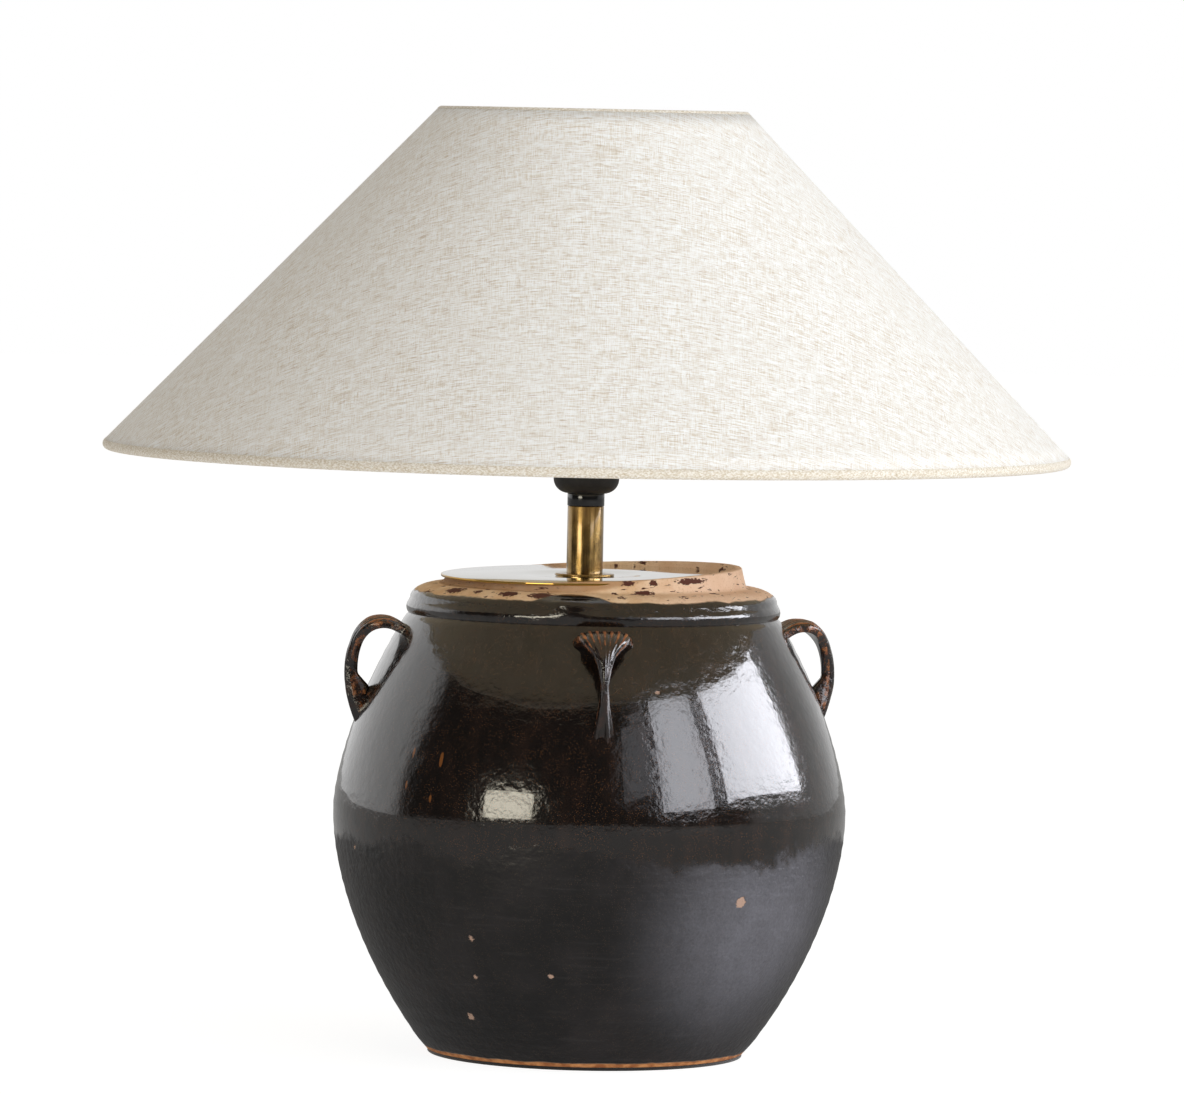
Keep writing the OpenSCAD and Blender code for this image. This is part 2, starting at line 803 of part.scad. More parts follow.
module bulb_mount() {
    stem_top = globe_z - 12;
    color([0.8, 0.85, 0.9, 0.6])
    at_stem()
        spin([
            [0, bulb_cap_z + 1.5 + layer_gap], [bulb_cap_r - 3, bulb_cap_z + 1.5 + layer_gap],
            [bulb_cap_r - 3, bulb_cap_top_z - 2], [4, bulb_cap_top_z + 6], [2, stem_top], [0, stem_top]
        ]);
}

module bulb_filaments() {
    count = 4;
    h = 32;
    ring_r = 8;
    r = 0.9;
    color("#e8c46a")
    at_stem()
        translate([0, 0, globe_z - 12])
            union() {
                cylinder(r = 1.2, h = h);
                for (z = [0.5, h - 0.5])
                    translate([0, 0, z])
                        for (i = [0:count - 1])
                            rotate([0, 90, 360 * i / count])
                                cylinder(r = 0.5, h = ring_r);
                for (i = [0:count - 1])
                    rotate([0, 0, 360 * i / count])
                        translate([ring_r, 0, 0])
                            cylinder(r = r, h = h);
            }
}

// A clamp ring has a broad flange towards the carrying ring and a gripped collar
module clamp_ring(flange_up) {
    bore = skirt_r + ring_gap;
    collar = clamp_r - clamp_lip;
    flange_z = flange_up ? clamp_h - clamp_flange_h : 0;
    difference() {
        union() {
            cylinder(r = collar, h = clamp_h);
            translate([0, 0, flange_z])
                cylinder(r = clamp_r, h = clamp_flange_h);
        }
        translate([0, 0, -eps])
            cylinder(r = bore, h = clamp_h + 2 * eps);
        for (i = [0:clamp_grips - 1])
            rotate([0, 0, 360 * i / clamp_grips])
                translate([clamp_r + 0.3, 0, -eps])
                    cylinder(r = 0.8, h = clamp_h + 2 * eps, $fn = 24);
    }
}

module clamp_ring_lower() {
    color("#161617")
    at_stem()
        translate([0, 0, clamp_z])
            clamp_ring(true);
}

module clamp_ring_upper() {
    color("#161617")
    at_stem()
        translate([0, 0, clamp_upper_z])
            clamp_ring(false);
}

module rod_between(a, b, r) {
    d = b - a;
    translate(a)
        rotate([0, acos(d[2] / norm(d)), atan2(d[1], d[0])])
            cylinder(r = r, h = norm(d));
}

module wire_ring(at) {
    rotate_extrude()
        translate(at)
            circle(r = wire_r);
}

// Three straight arms run from the carrying ring up to the middle of the top wire
weld = 0.5;
bend_bulge = 0.1;
arm_foot = [carrier_r + arm_bend, 0, carrier_z + carrier_t + arm_r - weld];
arm_head = [top_wire[0], 0, top_wire[1]];

module at_arms() {
    at_stem()
        for (i = [0:2])
            rotate([0, 0, arm_turn + 120 * i])
                children();
}

module shade_top_frame() {
    color("#d9d9d6") {
        at_stem() {
            wire_ring(top_wire);
            tube(carrier_r, skirt_r + carrier_gap, carrier_z, carrier_t);
        }
        at_arms() {
            rod_between([clamp_r + 2, 0, arm_foot[2]], arm_foot, arm_r);
            translate(arm_foot)
                sphere(r = arm_r + bend_bulge);
            rod_between(arm_foot, arm_head, arm_r);
        }
    }
}

module shade_bottom_ring() {
    color("#d9d9d6")
    at_stem()
        wire_ring(bottom_wire);
}

// A layer of the shade's wall lies between two distances out from the wires' middle
module wall_layer(inner, outer) {
    at_stem()
        spin([
            bottom_wire + out_slope * inner, bottom_wire + out_slope * outer,
            top_wire + out_slope * outer, top_wire + out_slope * inner
        ]);
}

module shade_liner() {
    inner = wire_r + layer_gap;
    color("#f2efe6")
    wall_layer(inner, inner + liner_t);
}

module shade_cover() {
    inner = wire_r + liner_t + 2 * layer_gap;
    color("#d9d1c0")
    wall_layer(inner, inner + linen_t);
}

// A hem wraps a wire from the outside of the wall round to its inside
module hem(at, from, to) {
    turn = atan2(out_slope[1], out_slope[0]);
    at_stem()
        spin(concat(
            arc(at, hem_r, turn + from, turn + to, 16),
            arc(at, wire_r + layer_gap, turn + to, turn + from, 16)
        ));
}

// The tape is notched where it passes the arms
module shade_top_hem() {
    color("#cfc6b3")
    difference() {
        hem(top_wire, 1, 200);
        at_arms()
            rod_between(arm_foot, arm_head, arm_r + fit_gap);
    }
}

module shade_bottom_hem() {
    color("#cfc6b3")
    hem(bottom_wire, -200, -1);
}

jar();
lug_right();
lug_back();
lug_left();
lug_front();
base_felt();
cable_bush();
cover_plate();
foot_ring();
stem_tube();
stem_collar();
threaded_rod();
clamp_bar();
bar_pads();
clamp_washer();
rod_nuts();
holder_cap();
holder_skirt();
holder_core();
screw_shell();
centre_contact();
terminals();
terminal_screws();
clamp_ring_lower();
clamp_ring_upper();
bulb_cap();
bulb_insulator();
bulb_contact();
bulb_glass();
bulb_mount();
bulb_filaments();
shade_top_frame();
shade_bottom_ring();
shade_liner();
shade_cover();
shade_top_hem();
shade_bottom_hem();
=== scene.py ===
from math import atan2, cos, degrees, exp, hypot, pi, radians, sin, sqrt, tan

import bmesh
import bpy
from mathutils import Matrix, Vector, noise


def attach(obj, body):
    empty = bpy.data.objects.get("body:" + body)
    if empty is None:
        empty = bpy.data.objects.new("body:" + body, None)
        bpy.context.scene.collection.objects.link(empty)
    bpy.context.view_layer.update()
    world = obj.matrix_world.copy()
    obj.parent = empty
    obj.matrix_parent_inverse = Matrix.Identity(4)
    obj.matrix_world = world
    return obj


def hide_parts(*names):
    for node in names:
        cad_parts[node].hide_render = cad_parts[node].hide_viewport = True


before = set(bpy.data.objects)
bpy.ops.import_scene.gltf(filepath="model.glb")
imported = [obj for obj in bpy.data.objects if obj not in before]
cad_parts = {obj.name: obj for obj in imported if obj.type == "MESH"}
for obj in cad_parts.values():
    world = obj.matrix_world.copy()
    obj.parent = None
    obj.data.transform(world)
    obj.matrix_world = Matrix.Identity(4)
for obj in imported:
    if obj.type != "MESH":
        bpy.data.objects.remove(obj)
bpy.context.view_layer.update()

# ---------------------------------------------------------------- The studio
# The lamp stands on a wide sheet of white paper in a white room. Soft light falls on it from the right
# front and from all round. A tall window at the right and a small warm lamp at the left show in the glaze.

MM = 0.001


def add_node(tree, kind, settings, inputs, output=0):
    """Adds any node: its type, its settings, then the values or signals of its sockets."""
    made = tree.nodes.new("ShaderNode" + kind)
    for name, value in settings.items():
        setattr(made, name, value)
    for name, value in inputs.items():
        if isinstance(value, Signal):
            tree.links.new(value.socket, made.inputs[name])
        else:
            made.inputs[name].default_value = value
    return Signal(made.outputs[output])


class Signal:
    """A value, colour or place that varies over a surface, and the sums made with it."""

    def __init__(self, socket):
        self.socket = socket

    def node(self, kind, settings, inputs, output=0):
        return add_node(self.socket.id_data, kind, settings, inputs, output)

    def maths(self, operation, first, second=0.0):
        return self.node("Math", {"operation": operation}, {0: first, 1: second})

    def __add__(self, other):
        return self.maths("ADD", self, other)

    def __sub__(self, other):
        return self.maths("SUBTRACT", self, other)

    def __rsub__(self, other):
        return self.maths("SUBTRACT", other, self)

    def __mul__(self, other):
        return self.maths("MULTIPLY", self, other)

    def __truediv__(self, other):
        return self.maths("DIVIDE", self, other)

    __radd__ = __add__
    __rmul__ = __mul__

    def most(self, other):
        return self.maths("MAXIMUM", self, other)

    def wave(self):
        return self.maths("SINE", self)

    def rise(self, low, high):
        """Runs smoothly from 0 at low to 1 at high."""
        return self.node("MapRange", {"interpolation_type": "SMOOTHSTEP"}, {
            "Value": self, "From Min": low, "From Max": high,
        })

    def blend(self, at_0, at_1):
        """The first colour where this is 0, the second where it is 1."""
        return self.node("Mix", {"data_type": "RGBA"}, {0: self, 6: at_0, 7: at_1}, 2)

    def stretch(self, x, y, z):
        return self.node("VectorMath", {"operation": "MULTIPLY"}, {0: self, 1: (x, y, z)})

    def axis(self, letter):
        return self.node("SeparateXYZ", {}, {0: self}, letter)

    def distance(self, place):
        return self.node("VectorMath", {"operation": "DISTANCE"}, {0: self, 1: place}, "Value")


def ink(code):
    """A colour as written for a screen, such as d8b48e, in the renderer's own values."""
    parts = [int(code[i : i + 2], 16) / 255 for i in (0, 2, 4)]
    return (*[p / 12.92 if p < 0.04045 else ((p + 0.055) / 1.055) ** 2.4 for p in parts], 1)


camera = bpy.data.objects.new("camera", bpy.data.cameras.new("camera"))
camera.data.lens = 246.2
camera.data.sensor_width = 36
camera.data.clip_end = 60
camera.matrix_world = (
    Matrix.Translation((0.0019, -5.0, 0.5782))
    @ Matrix.Rotation(radians(0.041), 4, "Z")
    @ Matrix.Rotation(radians(90 - 3.024), 4, "X")
    @ Matrix.Rotation(radians(1.174), 4, "Z")
)
bpy.context.scene.collection.objects.link(camera)
bpy.context.scene.camera = camera
bpy.context.scene.view_settings.view_transform = "Standard"

world = bpy.data.worlds.new("studio")
bpy.context.scene.world = world
world.use_nodes = True
sky = world.node_tree.nodes["Background"]
ray = add_node(world.node_tree, "LightPath", {}, {}, "Is Camera Ray")
glossy = ray.node("LightPath", {}, {}, "Is Glossy Ray")
mirrored = glossy.most(ray.node("LightPath", {}, {}, "Is Transmission Ray"))
# In reflections the room is bright behind the lamp and overhead, and dark in front
way = ray.node("TexCoord", {}, {}, "Object")
behind = (way.axis("Y") + 0.16 * way.axis("X")).rise(-0.14, 0.06) * (0.72 - 0.32 * way.axis("X"))
room = behind.most(0.5 * way.axis("Z").rise(0.75, 0.95)) + 0.04
ambient = 0.5
strength = ray + (1 - ray) * (mirrored * room + (1 - mirrored) * ambient)
world.node_tree.links.new(strength.socket, sky.inputs["Strength"])
colour = ray.most(mirrored).blend((1, 0.955, 0.87, 1), (1, 1, 1, 1))
world.node_tree.links.new(colour.socket, sky.inputs["Color"])


def soft_light(name, towards, distance, size, level, tint, only, target=(0, 0, 0.3)):
    """A lamp with a flat face, towards an azimuth and a height in degrees from what it is turned to.

    It either lights surfaces (diffuse) or shows in them (glossy)."""
    azimuth, height = (radians(a) for a in towards)
    lamp = bpy.data.lights.new(name, "AREA")
    lamp.shape = "RECTANGLE"
    lamp.size, lamp.size_y = size
    lamp.energy = level * pi * size[0] * size[1]
    lamp.color = tint
    holder = bpy.data.objects.new(name, lamp)
    way_out = Vector((cos(azimuth) * cos(height), sin(azimuth) * cos(height), sin(height)))
    place = Vector(target) + way_out * distance
    holder.matrix_world = Matrix.Translation(place) @ way_out.to_track_quat("Z", "Y").to_matrix().to_4x4()
    holder.visible_camera = False
    holder.visible_diffuse = only == "diffuse"
    holder.visible_glossy = only == "glossy"
    bpy.context.scene.collection.objects.link(holder)


soft_light("key", (-20, 38), 3.6, (2.4, 2.4), 2.0, (0.84, 0.93, 1.02), "diffuse")
soft_light("low_front", (-52, 7), 4.0, (2.8, 0.9), 8.5, (0.95, 0.98, 1.02), "diffuse")

# The window's tall panes stand in one upright plane at the right, with dark bars between them
window_way = radians(-26)
window_across = Vector((-sin(window_way), cos(window_way), 0))
window_out = Vector((cos(window_way), sin(window_way), 0))
window_away, window_top = 2.2, 2.45
for number, (left, right, low, level) in enumerate(
    [(-2.4, -1.5, 1.0, 0.8), (-1.3, -0.32, 0.55, 5), (-0.06, 2.35, 0.6, 9)]
):
    pane = bpy.data.lights.new(f"pane_{number}", "AREA")
    pane.shape = "RECTANGLE"
    pane.size, pane.size_y = right - left, window_top - low
    pane.energy = level * pi * pane.size * pane.size_y
    pane.color = (0.92, 0.93, 1.0)
    holder = bpy.data.objects.new(pane.name, pane)
    height = (low + window_top) / 2
    middle = window_out * window_away + window_across * (left + right) / 2 + Vector((0, 0, height))
    holder.matrix_world = Matrix.Translation(middle) @ window_out.to_track_quat("Z", "Y").to_matrix().to_4x4()
    holder.visible_camera = holder.visible_diffuse = False
    bpy.context.scene.collection.objects.link(holder)

soft_light("warm_lamp", (-127, 11), 2.4, (1.0, 0.5), 8, (1.0, 0.93, 0.76), "glossy", (-0.05, -0.15, 0.165))

paper = bpy.data.meshes.new("paper")
work = bmesh.new()
bmesh.ops.create_grid(work, x_segments=1, y_segments=1, size=14)
work.to_mesh(paper)
work.free()
floor = bpy.data.objects.new("paper", paper)
bpy.context.scene.collection.objects.link(floor)
white = bpy.data.materials.new("white_paper")
white.use_nodes = True
white.node_tree.nodes.clear()
ray = add_node(white.node_tree, "LightPath", {}, {}, "Is Camera Ray")
glossy = ray.node("LightPath", {}, {}, "Is Glossy Ray")
seen = ray.most(ray.node("LightPath", {}, {}, "Is Transmission Ray"))
lit = ray.node("BsdfDiffuse", {}, {"Color": glossy.blend((0.8, 0.8, 0.8, 1), (0.2, 0.2, 0.2, 1))})
plain = ray.node("Emission", {}, {"Strength": 1.32})
result = ray.node("MixShader", {}, {0: seen * 0.3 + 0.38 - glossy * 0.2, 1: lit, 2: plain})
white.node_tree.links.new(
    result.socket, white.node_tree.nodes.new("ShaderNodeOutputMaterial").inputs["Surface"]
)
paper.materials.append(white)

# ---------------------------------------------------------------- Felt
# A disc of pressed black felt, 2 mm thick, glued under the foot so that the jar doesn't scratch
# the table. It is a little smaller than the foot and shows only as a dark line.


class Finish:
    """A material: its shader's own values, and patterns laid over the piece in millimetres."""

    def __init__(self, name, **shader):
        self.material = bpy.data.materials.new(name)
        self.material.use_nodes = True
        self.tree = self.material.node_tree
        self.shader = self.tree.nodes["Principled BSDF"]
        for socket, value in shader.items():
            self.shader.inputs[socket.replace("_", " ")].default_value = value
        self.at = self.add("TexCoord", {}, {}, "Object").stretch(1000, 1000, 1000)

    def add(self, kind, settings, inputs, output=0):
        return add_node(self.tree, kind, settings, inputs, output)

    def cloud(self, size, detail=2.0, at=None, distortion=0.0):
        """Noise from 0 to 1 with spots of the given size, or of a size along each axis."""
        x, y, z = size if isinstance(size, tuple) else (size, size, size)
        place = (at or self.at).stretch(1 / x, 1 / y, 1 / z)
        return self.add("TexNoise", {}, {
            "Vector": place, "Scale": 1.0, "Detail": detail, "Roughness": 0.5, "Distortion": distortion,
        })

    def grains(self, size):
        """Distance from the nearest of scattered points, in parts of their spacing."""
        place = self.at.stretch(1 / size, 1 / size, 1 / size)
        return self.add("TexVoronoi", {}, {"Vector": place, "Scale": 1.0})

    def lay(self, socket, signal):
        self.tree.links.new(signal.socket, self.shader.inputs[socket])

    def relief(self, height, depth):
        """Bump from a height of 0 to 1, for a depth in millimetres."""
        self.lay("Normal", self.add("Bump", {}, {"Height": height, "Distance": depth * MM, "Strength": 1.0}))


def spun(outline, centre=(0, 0), steps=96):
    """Turns an outline of radius and height, in millimetres, about an upright axis."""
    made = bmesh.new()
    corners = [made.verts.new(((centre[0] + r) * MM, centre[1] * MM, z * MM)) for r, z in outline]
    ends_on_axis = outline[0][0] == 0 and outline[-1][0] == 0
    pairs = list(zip(corners, corners[1:])) + ([] if ends_on_axis else [(corners[-1], corners[0])])
    lines = [made.edges.new(pair) for pair in pairs]
    bmesh.ops.spin(
        made, geom=corners + lines, cent=(centre[0] * MM, centre[1] * MM, 0), axis=(0, 0, 1),
        dvec=(0, 0, 0), angle=2 * pi, steps=steps, use_merge=True, use_duplicate=False,
    )
    bmesh.ops.remove_doubles(made, verts=made.verts, dist=1e-6)
    return made


def make_piece(name, made, finish, body, nodes, sharp=38):
    """Keeps a finished mesh as a piece that rides on a body and stands for CAD nodes."""
    bmesh.ops.remove_doubles(made, verts=made.verts, dist=1e-6)
    bmesh.ops.recalc_face_normals(made, faces=made.faces)
    mesh = bpy.data.meshes.new(name)
    made.to_mesh(mesh)
    made.free()
    mesh.polygons.foreach_set("use_smooth", [True] * len(mesh.polygons))
    mesh.set_sharp_from_angle(angle=radians(sharp))
    mesh.materials.append(finish.material)
    piece = bpy.data.objects.new(name, mesh)
    bpy.context.scene.collection.objects.link(piece)
    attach(piece, body)
    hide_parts(*nodes)
    return piece


def corner(centre, r, start, end, steps):
    """Points of a rounded corner in the plane of radius and height."""
    angles = [radians(start + (end - start) * i / steps) for i in range(steps + 1)]
    return [(centre[0] + r * cos(a), centre[1] + r * sin(a)) for a in angles]


felt = Finish("pressed_felt", Roughness=0.95, Sheen_Weight=0.4)
fibres = felt.cloud(0.5, 6, distortion=1.5)
felt.lay("Base Color", fibres.rise(0.3, 0.75).blend(ink("0b0b0c"), ink("2a2826")))
felt.relief(fibres, 0.25)
felt_r, felt_t = 97.5, 2.0
pad_outline = [(0, 0)] + corner((felt_r - 0.5, 0.5), 0.5, -90, 0, 3)
pad_outline += corner((felt_r - 0.3, felt_t - 0.3), 0.3, 0, 90, 3) + [(0, felt_t)]
make_piece("felt_disc", spun(pad_outline, steps=128), felt, "base", ["base_felt"])

# ---------------------------------------------------------------- Jar
# A thrown stoneware storage jar, once a food jar and now the lamp's body. It was dipped twice in
# an iron glaze: thin and satin below, thick and glossy above. The mouth was wiped bare, and its lip
# is worn down along a slope to the left.

foot_z, belly_z, shoulder_z = 2.0, 152.0, 272.0
foot_r, belly_r, shoulder_r = 99.0, 158.5, 115.0
band_z, crown_z, seat_z, lip_z = 281.0, 290.5, 296.1, 303.6
neck_r, lip_r, mouth_r, throat_z = 93.6, 91.5, 80.0, 280.1
jar_wall, floor_z, shelf_r = 9.0, 14.0, 98.0
band_taper, band_bulge, neck_round, foot_round = 1.4, 1.2, 3, 2
seat_fall, seat_turn = 1.0, 38
lip_fall, lip_turn = 2.9, 14
lump_turn, lump_z = -97, 284
stem = (-6.0, -4.0)
pocket_r, pocket_limit, lip_round = 89.1, 90.2, 1.5
outlet_z, outlet_hole_r = 32.0, 5.9


def body_r(z):
    """Radius of the jar's body at a height."""
    if z < belly_z:
        return belly_r - (belly_r - foot_r) * ((belly_z - z) / (belly_z - foot_z)) ** 1.9
    return belly_r - (belly_r - shoulder_r) * ((z - belly_z) / (shoulder_z - belly_z)) ** 1.6


def slope(x, y, middle, through_z, fall, turn):
    """Height of a plane that rises by an angle towards a direction."""
    away = (x - middle[0]) * cos(radians(turn)) + (y - middle[1]) * sin(radians(turn))
    return through_z + away * tan(radians(fall))


def seat_height(x, y):
    return slope(x, y, stem, seat_z, seat_fall, seat_turn)


def lip_height(x, y):
    high = (lip_r * cos(radians(lip_turn)), lip_r * sin(radians(lip_turn)))
    return max(slope(x, y, high, lip_z, lip_fall, lip_turn), seat_height(x, y))


body_rings = 66
body_heights = [
    foot_z + foot_round + (shoulder_z - foot_z - foot_round) * i / body_rings for i in range(1, body_rings + 1)
]
outlet_ring = min(range(body_rings), key=lambda i: abs(body_heights[i] - outlet_z))
body_heights[outlet_ring] = outlet_z
outline = [(0, foot_z), (60, foot_z)]
outline += corner((foot_r - foot_round, foot_z + foot_round), foot_round, -90, -30, 3)
outline += [(body_r(z), z) for z in body_heights[:-1]]
outline += [(body_r(270), 270), (body_r(271) - 0.5, 271), (shoulder_r - 0.5, 272)]
outline += [
    (shoulder_r - band_taper * t + band_bulge * sin(pi * t), shoulder_z + (band_z - shoulder_z) * t)
    for t in (0.12, 0.25, 0.4, 0.55, 0.7, 0.85, 1)
]
crown_w = shoulder_r - band_taper - neck_r - neck_round
outline += [
    (neck_r + neck_round + crown_w * cos(radians(a)), band_z + (crown_z - band_z) * sin(radians(a)))
    for a in (12, 22, 32, 42, 52, 61, 70, 80, 90)
]
outline += corner((neck_r + neck_round, crown_z + neck_round), neck_round, -105, -180, 4)
outline += [(92.9, 296.0), (92.3, 298.5), (91.8, 300.6)] + corner((90, lip_z - lip_round), lip_round, 0, 90, 4)
outline += [(87, lip_z), (84, seat_z), (mouth_r, seat_z), (mouth_r, throat_z), (shelf_r, throat_z)]
outline += [
    (body_r(z) - jar_wall, z)
    for z in (271, 262, 252, 240, 225, 205, 185, 165, 145, 125, 105, 85, 65, 50, 40, outlet_z + 5, 30, 22)
]
outline += [(body_r(floor_z) - jar_wall - 4, floor_z), (0, floor_z)]
jar = spun(outline, steps=144)

for v in jar.verts:
    x, y, z = v.co / MM
    r = hypot(x, y)
    if r < 1:
        continue
    turn = atan2(y, x)
    outside = r > body_r(min(max(z, foot_z), shoulder_z)) - 4 and z < band_z + 12
    if r > 83 and z > crown_z + 1:
        # Neck and lip shrink to the worn slope, and the wall inside the lip keeps clear of the plate
        if r < 88.5 and z > seat_z - 0.1:
            away = [stem[0] * cos(turn) + stem[1] * sin(turn), stem[0] * sin(turn) - stem[1] * cos(turn)]
            pocket = away[0] + sqrt(pocket_r**2 - away[1] ** 2)
            r = min(pocket if r < 85.5 else max(pocket, 87), pocket_limit)
            x, y = r * cos(turn), r * sin(turn)
        top = lip_height(x, y)
        if z < seat_z + 0.1 and r < pocket_limit + 0.1:
            z = seat_height(x, y)
        else:
            worn = 0.5 * max(0, noise.noise(Vector((x, y, 3)) / 9)) if z > lip_z - 2 else 0
            z = crown_z + (z - crown_z) * (top - crown_z) / (lip_z - crown_z) - worn
    elif r < mouth_r + 1 and abs(z - seat_z) < 0.1:
        z = seat_height(x, y)
    if outside:
        # Throwing rings, a slight lean of the wall, and the lump of glaze that froze on the shoulder
        wobble = 0.14 * sin(z / 1.5 + 2 * sin(turn)) + 0.5 * noise.noise(Vector((x, y, z)) / 55)
        lump = 2.3 * exp(-(((degrees(turn) - lump_turn) / 5.2) ** 2) - ((z - lump_z) / 5.5) ** 2)
        grow = (r + wobble + lump) / r
        x, y, z = x * grow, y * grow, z + 0.6 * lump
    v.co = Vector((x, y, z)) * MM

# The cable's outlet goes through the wall at the back
outlet_slope = atan2(body_r(outlet_z + 1) - body_r(outlet_z - 1), 2)
outlet_way = Vector((0, cos(outlet_slope), -sin(outlet_slope)))
outlet_at = Vector((0, body_r(outlet_z), outlet_z)) * MM
rims = []
jar.verts.ensure_lookup_table()
for place in (outlet_at, outlet_at - outlet_way * jar_wall * MM):
    hub = min(jar.verts, key=lambda v: (v.co - place).length)
    rim = {v for face in hub.link_faces for v in face.verts if v is not hub}
    bmesh.ops.delete(jar, geom=[hub], context="VERTS")
    for v in rim:
        side = v.co - place
        side -= outlet_way * side.dot(outlet_way)
        v.co += side.normalized() * outlet_hole_r * MM - side
    rims += [edge for edge in jar.edges if edge.verts[0] in rim and edge.verts[1] in rim and edge.is_boundary]
bmesh.ops.bridge_loops(jar, edges=rims)

glaze = Finish("iron_glaze", Roughness=0.1, Coat_Roughness=0.03, Coat_IOR=1.45)
height = glaze.at.axis("Z")
sway = glaze.cloud(60, 2)
ripple = glaze.cloud(7, 3)
dip = (height + (sway - 0.5) * 38 + (ripple - 0.5) * 13 + (glaze.cloud(2.4, 3) - 0.5) * 5).rise(130, 139)
lump_at = glaze.at.distance((-14, -113, lump_z))
bare_top = (height + (glaze.cloud(18, 3) - 0.5) * 4 + lump_at.rise(26, 12) * -5).rise(285.6, 286.6)
bare_foot = (height + (glaze.cloud(12, 3) - 0.5) * 2.2).rise(5.2, 4.2)
bare = bare_top.most(bare_foot)

speckle = glaze.grains(0.9).rise(0.26, 0.1) * glaze.cloud(7, 2).rise(0.35, 0.6)
streaks = glaze.cloud((9, 9, 46), 3)
gloss_colour = streaks.rise(0.4, 0.75).blend(ink("110c09"), ink("1f1510"))
gloss_colour = (speckle * 0.75).blend(gloss_colour, ink("80532c"))
satin_colour = glaze.cloud(34, 4).rise(0.35, 0.7).blend(ink("0f0c0c"), ink("1e1919"))
satin_colour = (glaze.cloud((30, 30, 2.4), 3).rise(0.55, 0.75) * 0.5).blend(satin_colour, ink("2b2828"))
satin_colour = (speckle * 0.6).blend(satin_colour, ink("6a5440"))
# Painted sheen: the matt glaze at the lower right is painted a lighter, bluish grey where the window's soft
# sheen falls
sheen_mottle = glaze.cloud((15, 15, 22), 5) * 0.45 + glaze.cloud(1.6, 3) * 0.6
painted_sheen = glaze.at.distance((104, -105, 88)).rise(104, 14) * (0.22 + sheen_mottle)
satin_colour = painted_sheen.blend(satin_colour, ink("67666d"))
glazed = dip.blend(satin_colour, gloss_colour)

clay = glaze.cloud(14, 5).rise(0.3, 0.7).blend(ink("ddb78e"), ink("efd3b3"))
clay = (glaze.at.axis("X").rise(10, 70) * 0.6).blend(clay, ink("ecc9b4"))
clay = (glaze.cloud(1.3, 3).rise(0.5, 0.75) * 0.45).blend(clay, ink("c99c70"))
flecks = glaze.cloud((7, 7, 1.6), 4, distortion=0.6).rise(0.64, 0.67)
ragged = glaze.cloud((2.2, 2.2, 1.1), 3)
for place, reach in (
    ((-83, -61, 289), 9), ((-51, -89, 289), 8), ((-31, -98, 289), 10), ((-70, -76, 289), 4),
    ((-16, -102, 289), 4), ((30, -88, 291), 8), ((60, -71, 298), 13), ((54, -88, 288), 5),
    ((17, -102, 288), 4), ((21, -90, 297), 4), ((36, -84, 297), 3), ((60, 64, 297), 12),
    ((78, 40, 298), 5), ((80, 30, 300), 4),
):
    x, y, z = place
    near = glaze.at.stretch(1 / reach, 1 / reach, 0.5).distance((x / reach, y / reach, z * 0.5))
    flecks = flecks.most((near + (ragged - 0.5) * 1.7).rise(0.95, 0.75))
# Painted shade: the bare clay inside the mouth, round the plate, is painted darker
mouth_shade = glaze.at.stretch(1, 1, 0).distance((*stem, 0)).rise(90.3, 89.2)
clay = (mouth_shade * 0.65).blend(clay, ink("a97c54"))
clay = flecks.blend(clay, ink("552a1c"))
rust = glaze.cloud(5, 3).rise(0.35, 0.7).blend(ink("9a5a2c"), ink("c98a52"))
clay = bare_foot.blend(clay, rust)

# Pale spots where the glaze is chipped. The small one at (40, -129, 234) is a painted highlight, a glint
# painted as a pale spot
chip_and_glint_spots = [
    ((93, -121, 107), 3.4), ((40, -129, 234), 1.2), ((-69, -97, 32), 2.2), ((-21, -134, 61), 1.6),
    ((-70, -127, 82), 1.6), ((-67, -116, 58), 1.2), ((-143, -65, 131), 1.2), ((-124, -15, 41), 1.6),
]
chip_and_glint_mask = None
for place, r in chip_and_glint_spots:
    spot = (glaze.at.distance(place) + (ragged - 0.5) * 4).rise(r + 0.5, r - 0.3)
    chip_and_glint_mask = spot if chip_and_glint_mask is None else chip_and_glint_mask.most(spot)
glazed = chip_and_glint_mask.blend(glazed, ink("a98a78"))
# Glaze that ran thin and orange in short drips down the left
for x, y, z, drip in ((-107, -106, 194, 12), (-90, -122, 190, 7), (-111, -109, 173, 3), (-96, -124, 166, 3)):
    run = glaze.at.stretch(1, 1, 1 / drip).distance((x, y, z / drip))
    glazed = ((run + (ripple - 0.5) * 2).rise(1.3, 0.7) * 0.7).blend(glazed, ink("8a5428"))
glaze.lay("Base Color", bare.blend(glazed, clay))
open_clay = bare.most(chip_and_glint_mask)
shiny = dip * (1 - open_clay)
glaze.lay("Roughness", 0.86 - shiny * 0.72 - (1 - dip) * (1 - open_clay) * 0.42 + (ripple - 0.5) * 0.12)
glaze.lay("Coat Weight", shiny * 0.9)
skin = glaze.cloud(11, 3) * 0.8 + glaze.cloud(2.8, 3) * 0.32
skin = skin + (height.rise(268, 272) * height.rise(288, 284)) * glaze.cloud((6, 6, 3), 3) * 0.9
rings = (height / 2.1 + sway * 9).wave() * 0.12 + glaze.cloud((26, 26, 3.2), 3) * 0.6
dents = glaze.cloud((4.5, 4.5, 4), 2) * 1.3
gritty = glaze.cloud(0.9, 4) * 0.5 + flecks * -0.3
below = (rings + dents) * (1 - dip) * (1 - open_clay)
glaze.relief(skin * shiny + below + gritty * open_clay + (1 - open_clay) * 0.9, 0.55)
make_piece("stoneware_jar", jar, glaze, "base", ["jar"], 50)

